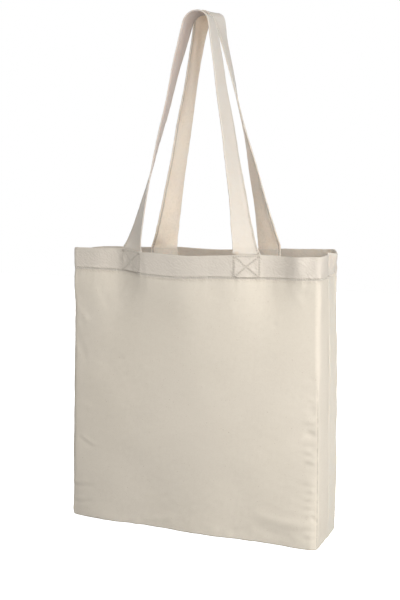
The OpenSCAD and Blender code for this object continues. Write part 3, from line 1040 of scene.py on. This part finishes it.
def allowance(name, skin, ends, across, wall, node):
    """The two raw allowances of a seam, laid flat inside the bag and bound with overlock thread."""
    (p0, z0), (p1, z1) = ends
    length = math.hypot(p1 - p0, z1 - z0)
    thick = SEAM_T * 0.82

    def spot(t, w):
        """The wall's inside, a share t of the way along the seam and w millimetres out from it."""
        return wall(skin, p0 + (p1 - p0) * t + across[0] * w, z0 + (z1 - z0) * t + across[1] * w)

    def on_top(t, share):
        point, out = spot(t, 0 * t + SEAM_W * share)
        return point - out * (0.12 + thick), -out

    t = spread(0, 1, 2.5 / length)
    w = np.concatenate([[0, 0.15], spread(0.8, SEAM_W - 0.8, 1.2), [SEAM_W - 0.15, SEAM_W]])
    T, W = np.meshgrid(t, w, indexing="ij")
    ragged = 0.35 * waves(71, T * length, 0 * T, 12, 6, 30) * (W / SEAM_W)
    surface, n = spot(T, W + ragged)
    edge = np.sqrt(1 - (1 - np.clip(np.minimum(W, SEAM_W - W) / 0.9, 0, 1)) ** 2)
    puff = 0.18 * waves(73, T * length, W, 10, 5, 18) * edge
    upper = surface - n * (0.1 + thick * edge + puff)[..., None]
    lower = surface - n * 0.02
    ring = there_and_back(upper, lower)
    cloth = np.stack([there_and_back(W, W), there_and_back(T, T) * length], -1)
    rows, cols = ring.shape[:2]
    corners = list(range(rows * cols))
    faces = grid_quads(rows, cols, closed=True) + [corners[:cols][::-1], corners[-cols:]]
    piece(mesh_object(name, ring, faces, cloth), seam_cloth, "seam", "bag", node)

    # slanted stitches over the raw edge, and one straight row beside them
    count = int(length // 2.4)
    ts = (np.arange(count) + 0.5) / count
    lean = 1.1 / length
    (near, n_near), (far, _) = on_top(ts - lean, 0.42), on_top(ts + lean, 0.97)
    a, b = stitch_marks(0, length)
    (first, n_first), (second, _) = on_top(a / length, 0.36), on_top(b / length, 0.36)
    binding = thread(name + "_overlock", *joined([(near, far, n_near), (first, second, n_first)]))
    piece(binding, thread_finish, "thread", "bag")


def inside_wall(skin, p, z):
    return look_up(skin, p, z, CANVAS_T + 0 * p)


def inside_base(skin, p, z):
    """Inside of the base: here z counts from the middle of the bag towards the skin's own face."""
    point = np.stack([p, skin["side"] * z, 0 * p + CANVAS_T + 1.3], -1)
    return point, np.broadcast_to(np.array([0, 0, -1.0]), point.shape)


def corner_allowance(hand, word):
    """The corner seam's allowance, standing against the foot of a gusset across both panels."""
    reach = HALF_D - 9

    def across_gusset(_, y, z):
        p = hand * (HALF_W + HALF_D - np.abs(y))
        front, rear = (look_up(skins[side], p, z, CANVAS_T + 0.1 + 0 * y)[0] for side in (FRONT, REAR))
        point = np.where((y < 0)[..., None], front, rear)
        point[..., 0] -= hand * 0.3
        point[..., 1] = y
        return point, np.broadcast_to(np.array([hand * 1.0, 0, 0]), point.shape)

    allowance(f"{word}_corner_allowance", None, ((-reach, 3.4), (reach, 3.4)), (0, 1), across_gusset,
              f"{word}_corner_seam")


seam_p = HALF_W + HALF_D - 0.6
low_z, high_z = SEAM_W + 4, HEM_LOW - 1
for hand, word in HAND_WORD.items():
    allowance(f"{word}_side_allowance", skins[REAR], ((hand * seam_p, low_z), (hand * seam_p, high_z)),
              (-hand, 0), inside_wall, f"{word}_side_seam")
inner_x = HALF_W - SEAM_T - 3
allowance("base_allowance", skins[REAR], ((-inner_x, 0.4), (inner_x, 0.4)),
          (0, 1), inside_base, "base_seam")
for hand, word in HAND_WORD.items():
    corner_allowance(hand, word)


# -------- stage, light and camera

FLOOR_HALF, FLOOR_DROP = 3000, 0.4
corners = [(x * FLOOR_HALF, y * FLOOR_HALF, -FLOOR_DROP) for x, y in ((-1, -1), (1, -1), (1, 1), (-1, 1))]
floor = mesh_object("floor", corners, [[0, 1, 2, 3]])
floor.data.materials.append(studio_floor())
floor.visible_diffuse = False

# the camera and the lights are placed in metres
CAMERA_AT = (0.5446, -1.3748, 0.5231)
YAW, PITCH, ROLL = (math.radians(a) for a in (21.821, 7.215, 0.555))
LENS = 61.01


def turned_camera():
    """The camera's place and turn as a matrix. At yaw 0 it looks along +y."""
    ahead = np.array([-math.sin(YAW) * math.cos(PITCH), math.cos(YAW) * math.cos(PITCH), -math.sin(PITCH)])
    level = np.array([math.cos(YAW), math.sin(YAW), 0])
    upright = np.cross(level, ahead)
    right = math.cos(ROLL) * level + math.sin(ROLL) * upright
    up = -math.sin(ROLL) * level + math.cos(ROLL) * upright
    return Matrix([[right[k], up[k], -ahead[k], CAMERA_AT[k]] for k in range(3)] + [[0, 0, 0, 1]])


camera = bpy.data.objects.new("camera", bpy.data.cameras.new("camera"))
camera.data.lens = LENS
camera.data.clip_end = 100
camera.matrix_world = turned_camera()
bpy.context.scene.collection.objects.link(camera)
bpy.context.scene.camera = camera


def softbox(name, place, aim, size, power):
    """A rectangular light that faces the spot it is aimed at."""
    light = bpy.data.lights.new(name, "AREA")
    light.shape, light.size, light.size_y, light.energy = "RECTANGLE", size[0], size[1], power
    obj = bpy.data.objects.new(name, light)
    back = normalised(np.subtract(place, aim))
    level = normalised(np.cross((0, 0, 1), back))
    up = np.cross(back, level)
    obj.matrix_world = Matrix([[level[k], up[k], back[k], place[k]] for k in range(3)] + [[0, 0, 0, 1]])
    bpy.context.scene.collection.objects.link(obj)


softbox("near_key", (0.7, -0.8, 0.24), (0.15, 0, 0.12), (0.5, 0.5), 3.6)
softbox("rim_key", (0.25, -0.95, 0.66), (0, 0.05, 0.48), (0.3, 0.3), 1.3)
softbox("front", (-0.2, -2.4, 1.4), (0, 0, 0.3), (1.6, 1.6), 6)
softbox("front_high", (0.3, -1.5, 2.0), (0, 0, 0.4), (1.0, 1.0), 12)
softbox("right", (2.2, 0.2, 0.6), (0, 0, 0.25), (1.4, 1.0), 11)
softbox("low_right", (0.8, -0.3, 0.08), (0.15, 0, 0.04), (0.5, 0.1), 0.9)
softbox("rear", (-1.6, 2.2, 1.2), (0, 0, 0.3), (1.6, 1.4), 40)
softbox("strap_key", (0.95, -0.85, 0.66), (0, 0, 0.56), (0.3, 0.3), 2.0)
softbox("strap_side", (1.3, -0.5, 0.72), (0, 0, 0.6), (0.3, 0.3), 3.4)
softbox("left", (-1.5, -0.6, 0.6), (0, 0, 0.5), (0.5, 0.5), 2.0)


def studio_world():
    """White where the camera sees it, and only a soft fill for everything else."""
    world = bpy.data.worlds.new("studio")
    world.use_nodes = True
    links, nodes = world.node_tree.links, world.node_tree.nodes
    nodes.clear()
    path, chooser = nodes.new("ShaderNodeLightPath"), nodes.new("ShaderNodeMixShader")
    links.new(path.outputs["Is Camera Ray"], chooser.inputs[0])
    for slot, shade, strength in ((1, colour(0.97, 0.98, 1.0), 0.25), (2, colour(1, 1, 1), 1.0)):
        background = nodes.new("ShaderNodeBackground")
        background.inputs["Color"].default_value = shade
        background.inputs["Strength"].default_value = strength
        links.new(background.outputs[0], chooser.inputs[slot])
    links.new(chooser.outputs[0], nodes.new("ShaderNodeOutputWorld").inputs[0])
    return world


bpy.context.scene.world = studio_world()
bpy.context.scene.view_settings.view_transform = "Standard"
